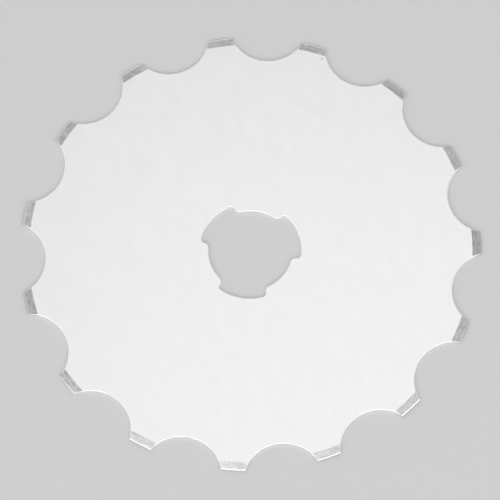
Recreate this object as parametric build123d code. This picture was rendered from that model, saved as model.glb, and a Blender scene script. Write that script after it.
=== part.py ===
from build123d import *
import math
import os

os.makedirs("parts", exist_ok=True)

# Rotary cutter blade with a scalloped edge, stamped from thin spring steel and
# ground to a knife edge from both faces. Lengths are in millimetres, angles in
# degrees. The hub axis is +Z and the lower face lies on z = 0.

# Disc
blade_diameter = 45.0
blade_thickness = 0.30
blade_radius = blade_diameter / 2
middle = blade_thickness / 2

# Knife edge: a wide ground bevel on each face, then a narrow honed one
bevel_width = 0.83
honed_width = 0.10
honed_half_angle = 20.0
face_radius = blade_radius - bevel_width
honed_radius = blade_radius - honed_width
honed_rise = honed_width * math.tan(math.radians(honed_half_angle))

# Gullets: equal circular bites that leave the short teeth between them
tooth_count = 15
gullet_radius = 3.90
gullet_depth = 2.465
tooth_pitch = 360 / tooth_count
gullet_centre_radius = blade_radius - gullet_depth + gullet_radius

# Hub hole: lands that centre the blade on the hub, and lobes between them. The
# walls of a lobe draw in towards its crown, and rounds take most of their depth
hub_diameter = 8.0
hub_clearance = 0.08
lobe_count = 3
lobe_depth = 0.87
lobe_foot_angle = 61.6
lobe_crown_angle = 57.8
land_corner_share = 0.62
lobe_corner_share = 0.43
land_radius = hub_diameter / 2 + hub_clearance
lobe_radius = land_radius + lobe_depth
lobe_pitch = 360 / lobe_count

# Where the pattern starts: one lobe points along -Y, and the next tooth
# anticlockwise of that lobe stands tooth_turn past it
first_lobe_angle = -90.0
tooth_turn = 6.3
first_gullet_angle = first_lobe_angle + tooth_turn + tooth_pitch / 2

# Stamping: the punch enters from above and draws the upper rim of every cut into
# a small roll. The blank is wider than the blade, so grinding takes its rim away
roll_radius = 0.10
blank_radius = blade_radius + 2 * roll_radius


def hub_hole():
    """The outline of the hole: lobes and lands joined by short walls, with every corner rounded."""
    outline = []
    for k in range(lobe_count):
        lobe_middle = first_lobe_angle + k * lobe_pitch
        crown = CenterArc((0, 0), lobe_radius, lobe_middle - lobe_crown_angle / 2, lobe_crown_angle)
        land = CenterArc((0, 0), land_radius, lobe_middle + lobe_foot_angle / 2, lobe_pitch - lobe_foot_angle)
        next_crown = crown.rotate(Axis.Z, lobe_pitch)
        outline += [crown, Line(crown @ 1, land @ 0), land, Line(land @ 1, next_crown @ 0)]
    hole = make_face(outline)
    hole = fillet(hole.vertices().group_by(SortBy.DISTANCE)[-1], lobe_corner_share * lobe_depth)
    return fillet(hole.vertices().group_by(SortBy.DISTANCE)[0], land_corner_share * lobe_depth)


def stamped_blank():
    """The punched disc, with its gullets and hole cut and every upper rim rolled over."""
    gullets = PolarLocations(gullet_centre_radius, tooth_count, first_gullet_angle) * Circle(gullet_radius)
    outline = Circle(blank_radius) - gullets - hub_hole()
    blank = extrude(outline, blade_thickness)
    return fillet(blank.edges().group_by(Axis.Z)[-1], roll_radius)


def ground_disc():
    """The full disc that the grinding wheels leave, thinned to a knife edge at mid-thickness."""
    section = Polyline(
        (0, 0),
        (face_radius, 0),
        (honed_radius, middle - honed_rise),
        (blade_radius, middle),
        (honed_radius, middle + honed_rise),
        (face_radius, blade_thickness),
        (0, blade_thickness),
        close=True,
    )
    return revolve(Plane.XZ * make_face(section), Axis.Z)


cutter_blade = stamped_blank() & ground_disc()
export_step(cutter_blade, "parts/cutter_blade.step")
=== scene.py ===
import math

import bpy
import numpy as np
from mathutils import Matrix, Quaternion, Vector
from mathutils.geometry import delaunay_2d_cdt


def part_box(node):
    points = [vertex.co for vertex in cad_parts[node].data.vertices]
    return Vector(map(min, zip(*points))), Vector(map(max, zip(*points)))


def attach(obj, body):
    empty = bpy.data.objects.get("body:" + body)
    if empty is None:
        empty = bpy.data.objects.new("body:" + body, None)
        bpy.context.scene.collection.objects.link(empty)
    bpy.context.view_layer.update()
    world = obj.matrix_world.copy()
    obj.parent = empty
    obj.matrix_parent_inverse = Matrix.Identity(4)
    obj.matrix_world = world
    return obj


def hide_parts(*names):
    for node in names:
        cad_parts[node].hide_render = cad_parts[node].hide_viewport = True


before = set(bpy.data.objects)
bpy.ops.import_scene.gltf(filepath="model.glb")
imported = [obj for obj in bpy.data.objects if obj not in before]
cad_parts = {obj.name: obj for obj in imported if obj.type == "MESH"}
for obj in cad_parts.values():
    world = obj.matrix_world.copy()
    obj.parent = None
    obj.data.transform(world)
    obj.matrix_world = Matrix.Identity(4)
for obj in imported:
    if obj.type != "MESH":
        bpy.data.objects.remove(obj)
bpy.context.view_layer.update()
NODE = "cutter_blade"
MM = 0.001

# Sizes of the blade, in metres. The disc's own size comes from the frame
low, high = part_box(NODE)
RADIUS = max(math.hypot(v.co.x, v.co.y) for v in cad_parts[NODE].data.vertices)
THICKNESS = high.z - low.z
MIDDLE = THICKNESS / 2
BEVEL_WIDTH = 0.83 * MM
HONED_WIDTH = 0.10 * MM
HONED_HALF_ANGLE = math.radians(20)
FACE_RADIUS = RADIUS - BEVEL_WIDTH
HONED_RADIUS = RADIUS - HONED_WIDTH
HONED_RISE = HONED_WIDTH * math.tan(HONED_HALF_ANGLE)

# Teeth and gullets. They are placed from the first lobe of the hub hole, which points along -Y
TOOTH_COUNT = 15
PITCH = math.tau / TOOTH_COUNT
GULLET_RADIUS = 3.90 * MM
GULLET_DEPTH = 2.465 * MM
GULLET_CENTRE = RADIUS - GULLET_DEPTH + GULLET_RADIUS
FIRST_LOBE = math.radians(-90)
FIRST_TOOTH = FIRST_LOBE + math.radians(6.3)

# Hub hole
LOBE_COUNT = 3
LOBE_PITCH = math.tau / LOBE_COUNT
LOBE_FOOT_ANGLE = math.radians(61.6)
LOBE_CROWN_ANGLE = math.radians(57.8)
LOBE_DEPTH = 0.87 * MM
LAND_RADIUS = 4.08 * MM
LOBE_RADIUS = LAND_RADIUS + LOBE_DEPTH
LAND_CORNER = 0.62 * LOBE_DEPTH
LOBE_CORNER = 0.43 * LOBE_DEPTH

# Rolled upper rim of every punched cut
ROLL_RADIUS = 0.10 * MM
ROLL_BASE = THICKNESS - ROLL_RADIUS

# How finely the curves are divided, and the rings of points across the flat faces
GULLET_STEPS = 48
TOOTH_STEPS = 12
BEVEL_STEPS = 8
HONED_STEPS = 2
ROLL_STEPS = 6
WALL_STEPS = 2
CORNER_STEPS = 10
LOBE_STEPS = 12
RING_GAP = 1.3 * MM
RINGS = np.arange(LOBE_RADIUS + RING_GAP, RADIUS - GULLET_DEPTH - RING_GAP / 2, RING_GAP)

# Finishes of the blade, in the order of its material slots
FLAT, GROUND, HONED, PUNCHED = range(4)

UP = np.array((0.0, 0.0, 1.0))
QUARTER_TURN = math.pi / 2

# Places that agree to this many decimals of a metre are one point
WELD_DECIMALS = 9

# How a flat area is triangulated: only inside its rim, with points this near made one, in millimetres
INSIDE = 1
MERGE = 1e-6

# A flat area is drawn with two loops: its rim is number 0 and the hole is this one
HOLE_LOOP = 1


def blend(a, b, t):
    return a + (b - a) * t


def polar(radius, angle, z=0.0):
    return np.array((radius * math.cos(angle), radius * math.sin(angle), z))


def compass(vector):
    """The angle of a place or direction round the blade's axis."""
    return math.atan2(vector[1], vector[0])


def unit(vector):
    return vector / np.linalg.norm(vector)


def steps(count):
    """Fractions from 0 to 1."""
    return [k / count for k in range(count + 1)]


class Skin:
    """A closed mesh collected face by face, with the true surface normal at every corner."""

    def __init__(self):
        self.points = []
        self.index = {}
        self.faces = []
        self.normals = []
        self.finishes = []

    def point(self, place):
        """The number of the point at a place, which is added if it is new."""
        key = tuple(np.round(place, WELD_DECIMALS))
        if key not in self.index:
            self.index[key] = len(self.points)
            self.points.append(key)
        return self.index[key]

    def face(self, corners, finish):
        """Adds a face from three or four (place, normal) pairs. Corners that coincide become one."""
        kept = {}
        for place, normal in corners:
            kept.setdefault(self.point(place), normal)
        if len(kept) < 3:
            return
        loop = list(kept)
        a, b, c, d = (np.array(self.points[i]) for i in (loop[0], loop[1], loop[-2], loop[-1]))
        if np.cross(c - a, d - b) @ sum(kept.values()) < 0:
            loop.reverse()
        self.faces.append(loop)
        self.finishes.append(finish)
        self.normals += [kept[i] for i in loop]

    def grid(self, rows, finish):
        """Adds the faces between rows of (place, normal) pairs, which are all of one length."""
        for row, following in zip(rows, rows[1:]):
            for k in range(len(row) - 1):
                self.face([row[k], row[k + 1], following[k + 1], following[k]], finish)

    def plane(self, rim, hole, inner, normal, finish):
        """Fills the flat area between a rim and a hole, both loops of places, using the inner places too."""
        places = rim + hole + inner
        drawn = [Vector(place[:2] / MM) for place in places]
        loops = [list(range(len(rim))), list(range(len(rim), len(rim) + len(hole)))]
        _, _, triangles, sources, _, areas = delaunay_2d_cdt(drawn, [], loops, INSIDE, MERGE)
        for triangle, lies_in in zip(triangles, areas):
            if HOLE_LOOP not in lies_in:
                self.face([(places[sources[i][0]], normal) for i in triangle], finish)

    def to_object(self, name):
        mesh = bpy.data.meshes.new(name)
        mesh.from_pydata(self.points, [], self.faces)
        mesh.polygons.foreach_set("use_smooth", [True] * len(self.faces))
        mesh.polygons.foreach_set("material_index", self.finishes)
        mesh.normals_split_custom_set(self.normals)
        piece = bpy.data.objects.new(name, mesh)
        bpy.context.scene.collection.objects.link(piece)
        return piece


def bevel_rise(radius):
    """How far the ground faces stand from the middle plane at a distance from the axis."""
    if radius >= HONED_RADIUS:
        return HONED_RISE * (RADIUS - radius) / HONED_WIDTH
    if radius <= FACE_RADIUS:
        return MIDDLE
    return blend(HONED_RISE, MIDDLE, (HONED_RADIUS - radius) / (HONED_RADIUS - FACE_RADIUS))


def roll_offset(turn):
    """How far the roll's surface lies in from the wall, where its normal has turned up by this angle."""
    return ROLL_RADIUS * (1 - math.cos(turn))


def roll_height(turn):
    return ROLL_BASE + ROLL_RADIUS * math.sin(turn)


def turned(outward, turn):
    """A wall's outward normal tipped up by an angle."""
    return outward * math.cos(turn) + UP * math.sin(turn)


def flank_roll(radius):
    """Radius of the roll along a flank, which shrinks as the bevels thin the steel."""
    return ROLL_RADIUS * bevel_rise(radius) / MIDDLE


def flank_angle(radius, offset):
    """Angle from a gullet's middle to the line that lies offset inside its wall, at this radius."""
    arc = GULLET_RADIUS + offset
    cosine = (radius**2 + GULLET_CENTRE**2 - arc**2) / (2 * radius * GULLET_CENTRE)
    return math.acos(min(cosine, 1))


def gullet_reach(offset):
    """Half the arc, seen from the gullet's centre, that lies inside the bevels' inner edge."""
    arc = GULLET_RADIUS + offset
    return math.acos((GULLET_CENTRE**2 + arc**2 - FACE_RADIUS**2) / (2 * GULLET_CENTRE * arc))


def gullets_beside(tooth):
    """The middles of the gullets before and after a tooth, which is given by its number."""
    before = FIRST_TOOTH + (tooth - 0.5) * PITCH
    return before, before + PITCH


def gullet_shares():
    """Shares of the way along a gullet's arc, from -1 to 1."""
    return [2 * t - 1 for t in steps(GULLET_STEPS)]


def gullet_point(middle, share, offset, z):
    """A point in a gullet, at a share of the way along its arc. Also the wall's outward normal there."""
    centre = polar(GULLET_CENTRE, middle, z)
    inward = polar(-1, middle - share * gullet_reach(offset))
    return centre + inward * (GULLET_RADIUS + offset), -inward


def flank_point(middle, side, radius, offset, z):
    """A point on a tooth's flank, beside the gullet whose middle is given; side is -1 or 1."""
    place = polar(radius, middle + side * flank_angle(radius, offset), z)
    return place, unit(polar(GULLET_CENTRE, middle, z) - place)


def tooth_angles(before, after, radius, offset):
    """Angles across a tooth at this radius, between the lines that lie offset inside its flanks."""
    half = flank_angle(radius, offset)
    return [blend(before + half, after - half, t) for t in steps(TOOTH_STEPS)]


def bevel_normal(angle, radius, side):
    """The ground surface's normal; side is 1 above and -1 below."""
    if radius > HONED_RADIUS:
        slope = HONED_RISE / HONED_WIDTH
    else:
        slope = (MIDDLE - HONED_RISE) / (HONED_RADIUS - FACE_RADIUS)
    return unit(polar(slope, angle, side))


def bevel_rings():
    """Radii from the flat face out to the knife edge: one stretch for each bevel, with its finish.

    The wide bevel's radii lie closest together beside the face.
    """
    wide = [blend(FACE_RADIUS, HONED_RADIUS, t * t) for t in steps(BEVEL_STEPS)]
    narrow = [blend(HONED_RADIUS, RADIUS, t) for t in steps(HONED_STEPS)]
    return (wide, GROUND), (narrow, HONED)


def add_gullet(skin, middle):
    """The roll and the wall of one gullet, between the bevels of its two teeth."""
    shares = gullet_shares()
    roll = []
    for t in steps(ROLL_STEPS):
        turn = t * QUARTER_TURN
        row = [gullet_point(middle, s, roll_offset(turn), roll_height(turn)) for s in shares]
        roll.append([(place, turned(outward, turn)) for place, outward in row])
    skin.grid(roll, PUNCHED)
    wall = [[gullet_point(middle, s, 0, ROLL_BASE * t) for s in shares] for t in steps(WALL_STEPS)]
    skin.grid(wall, PUNCHED)


def add_flank(skin, middle, side):
    """Where a tooth's flank runs out between the bevels: the roll along its top, and the wall below it.

    The roll turns from the wall's normal to the bevel's, so that it meets both smoothly.
    """
    for radii, _ in bevel_rings():
        inside = (radii[0] + radii[-1]) / 2
        roll = []
        wall = []
        for radius in radii:
            size = flank_roll(radius)
            head = MIDDLE + bevel_rise(radius) - size
            foot = MIDDLE - bevel_rise(radius)
            row = []
            for t in steps(ROLL_STEPS):
                across = math.cos(t * QUARTER_TURN)
                rise = math.sin(t * QUARTER_TURN)
                place, outward = flank_point(middle, side, radius, size * (1 - across), head + size * rise)
                ground = bevel_normal(compass(place), inside, 1)
                row.append((place, unit(outward * across + ground * rise)))
            roll.append(row)
            heights = [blend(foot, head, t) for t in steps(WALL_STEPS)]
            wall.append([flank_point(middle, side, radius, 0, z) for z in heights])
        skin.grid(roll, PUNCHED)
        skin.grid(wall, PUNCHED)


def add_tooth_bevels(skin, before, after):
    """The ground faces of the tooth between two gullets, given by their middles."""
    for radii, finish in bevel_rings():
        inside = (radii[0] + radii[-1]) / 2
        for side in (1, -1):
            rows = []
            for radius in radii:
                height = MIDDLE + side * bevel_rise(radius)
                offset = flank_roll(radius) if side > 0 else 0
                angles = tooth_angles(before, after, radius, offset)
                rows.append([(polar(radius, a, height), bevel_normal(a, inside, side)) for a in angles])
            skin.grid(rows, finish)


def arc_points(centre, radius, start, end, count, sense):
    """(place, normal) pairs along an arc. sense is 1 where the steel lies outside it, and -1 where inside."""
    angles = [blend(start, end, t) for t in steps(count)]
    return [(centre + polar(radius, a), polar(-sense, a)) for a in angles]


def round_centre(foot, wall_angle, reach, radius):
    """The centre of a round that touches a lobe's wall, at this reach from the axis.

    The wall starts at foot and runs out at wall_angle. A negative radius puts the round in the hole.
    """
    along = polar(1, wall_angle)
    beside = foot + polar(radius, wall_angle + QUARTER_TURN)
    start = beside @ along
    return beside + along * (math.sqrt(start**2 - beside @ beside + reach**2) - start)


def half_lobe():
    """The hole's outline from the middle of a lobe to the middle of a land, for a lobe along +X."""
    axis = np.zeros(3)
    foot = polar(LAND_RADIUS, LOBE_FOOT_ANGLE / 2)
    wall_angle = compass(polar(LOBE_RADIUS, LOBE_CROWN_ANGLE / 2) - foot)
    in_crown = round_centre(foot, wall_angle, LOBE_RADIUS - LOBE_CORNER, -LOBE_CORNER)
    by_land = round_centre(foot, wall_angle, LAND_RADIUS + LAND_CORNER, LAND_CORNER)
    crown_end = compass(in_crown)
    land_start = compass(by_land)
    return (
        arc_points(axis, LOBE_RADIUS, 0, crown_end, LOBE_STEPS, 1)
        + arc_points(in_crown, LOBE_CORNER, crown_end, wall_angle + QUARTER_TURN, CORNER_STEPS, 1)
        + arc_points(by_land, LAND_CORNER, wall_angle - QUARTER_TURN, land_start - math.pi, CORNER_STEPS, -1)
        + arc_points(axis, LAND_RADIUS, land_start, LOBE_PITCH / 2, LOBE_STEPS, 1)
    )


def laid_out(vector, side, angle):
    """A vector drawn for a lobe along +X, mirrored where side is -1 and turned to the lobe's angle."""
    return polar(math.hypot(vector[0], vector[1]), angle + side * compass(vector))


def hole_outline():
    """The hub hole's closed outline as (place, outward normal) pairs, anticlockwise, with rounded corners."""
    half = half_lobe()
    outline = []
    for k in range(LOBE_COUNT):
        angle = FIRST_LOBE + k * LOBE_PITCH
        for side, pairs in ((-1, half[::-1]), (1, half)):
            for place, normal in pairs:
                outline.append((laid_out(place, side, angle), laid_out(normal, side, angle)))
    return outline + outline[:1]


def at_turn(outline, turn):
    """The hole's outline on the roll, where the normal has turned up by this angle."""
    row = []
    for place, outward in outline:
        moved = place - outward * roll_offset(turn) + UP * roll_height(turn)
        row.append((moved, turned(outward, turn)))
    return row


def at_height(outline, z):
    return [(place + UP * z, outward) for place, outward in outline]


def add_hole(skin, outline):
    """The roll and the wall of the hub hole."""
    skin.grid([at_turn(outline, t * QUARTER_TURN) for t in steps(ROLL_STEPS)], PUNCHED)
    skin.grid([at_height(outline, ROLL_BASE * t) for t in steps(WALL_STEPS)], PUNCHED)


def face_edge(offset, z):
    """The outer edge of a flat face: gullet arcs, and the inner edge of each tooth's bevel."""
    loop = []
    for tooth in range(TOOTH_COUNT):
        before, after = gullets_beside(tooth)
        loop += [polar(FACE_RADIUS, a, z) for a in tooth_angles(before, after, FACE_RADIUS, offset)]
        loop += [gullet_point(after, s, offset, z)[0] for s in gullet_shares()[1:-1]]
    return loop


def ring_points(z):
    """Points across a flat face, which keep its triangles even."""
    points = []
    for radius in RINGS:
        count = round(math.tau * radius / RING_GAP)
        points += [polar(radius, k / count * math.tau, z) for k in range(count)]
    return points


def add_faces(skin, outline):
    """The two flat faces. The upper one ends at the rolls, the lower one at the walls."""
    rim = [place for place, _ in at_turn(outline, QUARTER_TURN)][:-1]
    skin.plane(face_edge(ROLL_RADIUS, THICKNESS), rim, ring_points(THICKNESS), UP, FLAT)
    foot = [place for place, _ in outline][:-1]
    skin.plane(face_edge(0, 0), foot, ring_points(0), -UP, FLAT)


def make_blade():
    skin = Skin()
    outline = hole_outline()
    add_faces(skin, outline)
    add_hole(skin, outline)
    for tooth in range(TOOTH_COUNT):
        before, after = gullets_beside(tooth)
        add_gullet(skin, after)
        add_flank(skin, before, 1)
        add_flank(skin, after, -1)
        add_tooth_bevels(skin, before, after)
    return skin.to_object("ground_blade")


# Steel: its polishing direction, the one dark speck on its upper face, and how rough its patterns are
GRAIN_ANGLE = math.radians(-50)
SPECK_PLACE = polar(21.33 * MM, math.radians(81.2), THICKNESS)
SPECK_RADIUS = 0.14 * MM
SPECK_TONE = 0.65
NOISE_ROUGHNESS = 0.6

# A slow change of tone round the blade, as if each tooth was ground and honed a little differently
PASS_LENGTH = 12 * MM
GROUND_START = (21.8, 21.8, 21.4)
HONED_START = (14.9, 31.1, 19.7)


class Graph:
    """A node tree that is built one call at a time."""

    def __init__(self, owner):
        owner.use_nodes = True
        self.tree = owner.node_tree

    def add(self, kind, sockets, **settings):
        """Adds a node. sockets gives its inputs, by name or number.

        An input is a plain value, a socket, or a node, which stands for its first output.
        """
        node = self.tree.nodes.new("ShaderNode" + kind)
        for name, value in settings.items():
            setattr(node, name, value)
        for key, value in sockets.items():
            self.feed(node.inputs[key], value)
        return node

    def feed(self, socket, value):
        if isinstance(value, bpy.types.Node):
            value = value.outputs[0]
        if isinstance(value, bpy.types.NodeSocket):
            self.tree.links.new(value, socket)
        else:
            socket.default_value = value

    def place(self):
        """Where the point lies on the blade, in metres."""
        return self.add("TexCoord", {}).outputs["Object"]

    def noise(self, vector, detail):
        sockets = {"Vector": vector, "Scale": 1.0, "Detail": detail, "Roughness": NOISE_ROUGHNESS}
        return self.add("TexNoise", sockets)

    def ranged(self, value, start, end, first, last):
        """Goes smoothly from first to last as the value goes from start to end."""
        sockets = {"Value": value, "From Min": start, "From Max": end, "To Min": first, "To Max": last}
        return self.add("MapRange", sockets, interpolation_type="SMOOTHSTEP")

    def varied(self, base, layers):
        """A number about base. layers are (pattern from 0 to 1, how much it changes the number) pairs."""
        total = base - sum(amount for _, amount in layers) / 2
        for pattern, amount in layers:
            total = self.add("Math", {0: pattern, 1: amount, 2: total}, operation="MULTIPLY_ADD")
        return total

    def along_grain(self, length, width):
        """Marks of this length and width that run straight across the blade."""
        sockets = {"Vector": self.place(), "Rotation": (0, 0, GRAIN_ANGLE), "Scale": (length, width, width)}
        return self.add("Mapping", sockets, vector_type="TEXTURE")

    def around_axis(self, length, width, start=(0, 0, 0)):
        """Marks of this length and width that run round the blade, from anywhere in the pattern."""
        level = self.add("VectorMath", {0: self.place(), 1: (1, 1, 0)}, operation="MULTIPLY")
        radius = self.add("VectorMath", {0: level}, operation="LENGTH").outputs["Value"]
        heading = self.add("VectorMath", {0: level}, operation="NORMALIZE")
        stretch = (RADIUS / length,) * 3
        around = self.add("VectorMath", {0: heading, 1: stretch, 2: start}, operation="MULTIPLY_ADD")
        across = self.add("Math", {0: radius, 1: width}, operation="DIVIDE")
        return self.add("VectorMath", {0: around, 1: self.add("CombineXYZ", {"Z": across})}, operation="ADD")

    def down_walls(self, length, width):
        """Marks of this length and width that run down the punched walls."""
        return self.add("VectorMath", {0: self.place(), 1: (width, width, length)}, operation="DIVIDE")


def finish_steel(graph, tone, roughness, relief, depth):
    """Sets up the shader. tone, roughness and relief are patterns, and depth is the relief's, in metres."""
    shader = graph.tree.nodes["Principled BSDF"]
    shader.inputs["Metallic"].default_value = 1.0
    graph.feed(shader.inputs["Base Color"], tone)
    graph.feed(shader.inputs["Roughness"], roughness)
    bump = graph.add("Bump", {"Strength": 1.0, "Distance": depth, "Height": relief})
    graph.feed(shader.inputs["Normal"], bump)


def flat_steel():
    """The flat faces: polished strip, with fine straight marks, faint clouds and one dark speck."""
    material = bpy.data.materials.new("blade_steel_polished")
    graph = Graph(material)
    marks = graph.noise(graph.along_grain(length=3.0 * MM, width=0.16 * MM), detail=2)
    clouds = graph.noise(graph.along_grain(length=5.0 * MM, width=2.0 * MM), detail=2)
    mottling = graph.noise(graph.along_grain(length=2.0 * MM, width=1.0 * MM), detail=2)
    away = graph.add("VectorMath", {0: graph.place(), 1: SPECK_PLACE}, operation="DISTANCE").outputs["Value"]
    speck = graph.ranged(away, start=SPECK_RADIUS / 2, end=SPECK_RADIUS, first=SPECK_TONE, last=1.0)
    tone = graph.varied(0.82, [(marks, 0.02), (clouds, 0.035), (mottling, 0.04)])
    tone = graph.add("Math", {0: tone, 1: speck}, operation="MULTIPLY")
    roughness = graph.varied(0.24, [(marks, 0.05), (clouds, 0.04)])
    finish_steel(graph, tone, roughness, relief=marks, depth=0.0001 * MM)
    return material


def ground_steel():
    """The wide bevels: marks of the grinding wheel, which run round the blade."""
    material = bpy.data.materials.new("blade_steel_ground")
    graph = Graph(material)
    marks = graph.noise(graph.around_axis(length=2.5 * MM, width=0.09 * MM), detail=3)
    clouds = graph.noise(graph.around_axis(length=0.55 * MM, width=0.25 * MM), detail=4)
    passes = graph.noise(graph.around_axis(PASS_LENGTH, PASS_LENGTH, GROUND_START), detail=0)
    tone = graph.varied(0.73, [(marks, 0.40), (clouds, 0.75), (passes, 0.46)])
    roughness = graph.varied(0.38, [(marks, 0.10), (clouds, 0.10)])
    finish_steel(graph, tone, roughness, relief=marks, depth=0.0006 * MM)
    return material


def honed_steel():
    """The narrow bevels at the knife edge, finer than the wide ones."""
    material = bpy.data.materials.new("blade_steel_honed")
    graph = Graph(material)
    marks = graph.noise(graph.around_axis(length=1.5 * MM, width=0.02 * MM), detail=2)
    passes = graph.noise(graph.around_axis(PASS_LENGTH, PASS_LENGTH, HONED_START), detail=0)
    tone = graph.varied(0.90, [(marks, 0.05), (passes, 0.36)])
    roughness = graph.varied(0.32, [(marks, 0.06)])
    finish_steel(graph, tone, roughness, relief=marks, depth=0.0001 * MM)
    return material


def punched_steel():
    """The walls and rolled rims that the punch left, with short upright marks."""
    material = bpy.data.materials.new("blade_steel_punched")
    graph = Graph(material)
    marks = graph.noise(graph.down_walls(length=0.30 * MM, width=0.04 * MM), detail=3)
    tone = graph.varied(0.95, [(marks, 0.06)])
    roughness = graph.varied(0.62, [(marks, 0.14)])
    finish_steel(graph, tone, roughness, relief=marks, depth=0.0008 * MM)
    return material


# Studio: a pale floor and backdrop, soft boxes overhead, in front and on the right, and the camera
FLOOR_SIZE = 4.0
FLOOR_DROP = 0.02 * MM
FLOOR_TONE = 0.60
CAMERA_AZIMUTH = math.radians(13.45)
CAMERA_ELEVATION = math.radians(70.07)
CAMERA_ROLL = math.radians(-3.05)
CAMERA_DISTANCE = 0.4886
CAMERA_LENS = 360
CAMERA_SENSOR = 36
CAMERA_AIM = Vector((-0.07 * MM, 0.12 * MM, 0))


def from_angles(azimuth, elevation):
    """Unit direction from the blade towards a place seen at these angles; azimuth 0 is the -Y side."""
    level = math.cos(elevation)
    return Vector((math.sin(azimuth) * level, -math.cos(azimuth) * level, math.sin(elevation)))


def make_floor():
    bpy.ops.mesh.primitive_plane_add(size=FLOOR_SIZE, location=(0, 0, -FLOOR_DROP))
    floor = bpy.context.object
    floor.name = "floor"
    paint = bpy.data.materials.new("floor_paint")
    paint.use_nodes = True
    shader = paint.node_tree.nodes["Principled BSDF"]
    shader.inputs["Base Color"].default_value = (FLOOR_TONE, FLOOR_TONE, FLOOR_TONE, 1)
    shader.inputs["Roughness"].default_value = 0.9
    floor.data.materials.append(paint)


def soft_box(name, azimuth, elevation, distance, size, brightness):
    """A rectangular lamp that faces the blade. Its angles are in degrees and its lengths in metres.

    A brightness of 1 is that of a white sheet in full light.
    """
    width, depth = size
    data = bpy.data.lights.new(name, "AREA")
    data.shape = "RECTANGLE"
    data.size = width
    data.size_y = depth
    data.energy = brightness * math.pi * width * depth
    lamp = bpy.data.objects.new(name, data)
    bpy.context.scene.collection.objects.link(lamp)
    lamp.location = from_angles(math.radians(azimuth), math.radians(elevation)) * distance
    lamp.rotation_mode = "QUATERNION"
    lamp.rotation_quaternion = (-lamp.location).to_track_quat("-Z", "Y")


def make_world():
    """A pale backdrop all round, brightest low down and on the left, and a little dimmer in front."""
    world = bpy.data.worlds.new("studio")
    bpy.context.scene.world = world
    graph = Graph(world)
    direction = graph.add("TexCoord", {}).outputs["Generated"]
    parts = graph.add("SeparateXYZ", {0: direction}).outputs
    upward = graph.ranged(parts["Z"], start=0.45, end=1.0, first=0.70, last=0.17)
    sideways = graph.ranged(parts["X"], start=-1.0, end=1.0, first=1.42, last=0.68)
    backward = graph.ranged(parts["Y"], start=-0.8, end=0.0, first=0.80, last=1.0)
    brightness = graph.add("Math", {0: upward, 1: sideways}, operation="MULTIPLY")
    brightness = graph.add("Math", {0: brightness, 1: backward}, operation="MULTIPLY")
    graph.feed(graph.tree.nodes["Background"].inputs["Color"], brightness)


def make_camera():
    data = bpy.data.cameras.new("camera")
    data.lens = CAMERA_LENS
    data.sensor_width = CAMERA_SENSOR
    data.clip_start = 0.01
    data.clip_end = 20
    camera = bpy.data.objects.new("camera", data)
    bpy.context.scene.collection.objects.link(camera)
    back = from_angles(CAMERA_AZIMUTH, CAMERA_ELEVATION)
    camera.location = CAMERA_AIM + back * CAMERA_DISTANCE
    camera.rotation_mode = "QUATERNION"
    camera.rotation_quaternion = (-back).to_track_quat("-Z", "Y") @ Quaternion((0, 0, 1), CAMERA_ROLL)
    bpy.context.scene.camera = camera


blade = make_blade()
for steel in (flat_steel(), ground_steel(), honed_steel(), punched_steel()):
    blade.data.materials.append(steel)
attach(blade, "root")
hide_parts(NODE)

make_floor()
make_world()
soft_box("overhead_box", azimuth=180, elevation=83.5, distance=1.0, size=(0.47, 0.74), brightness=1.02)
soft_box("front_box", azimuth=-15, elevation=46, distance=1.7, size=(2.1, 1.6), brightness=1.35)
soft_box("right_box", azimuth=60, elevation=42, distance=1.7, size=(1.5, 1.5), brightness=1.65)
make_camera()
bpy.context.scene.view_settings.view_transform = "Standard"
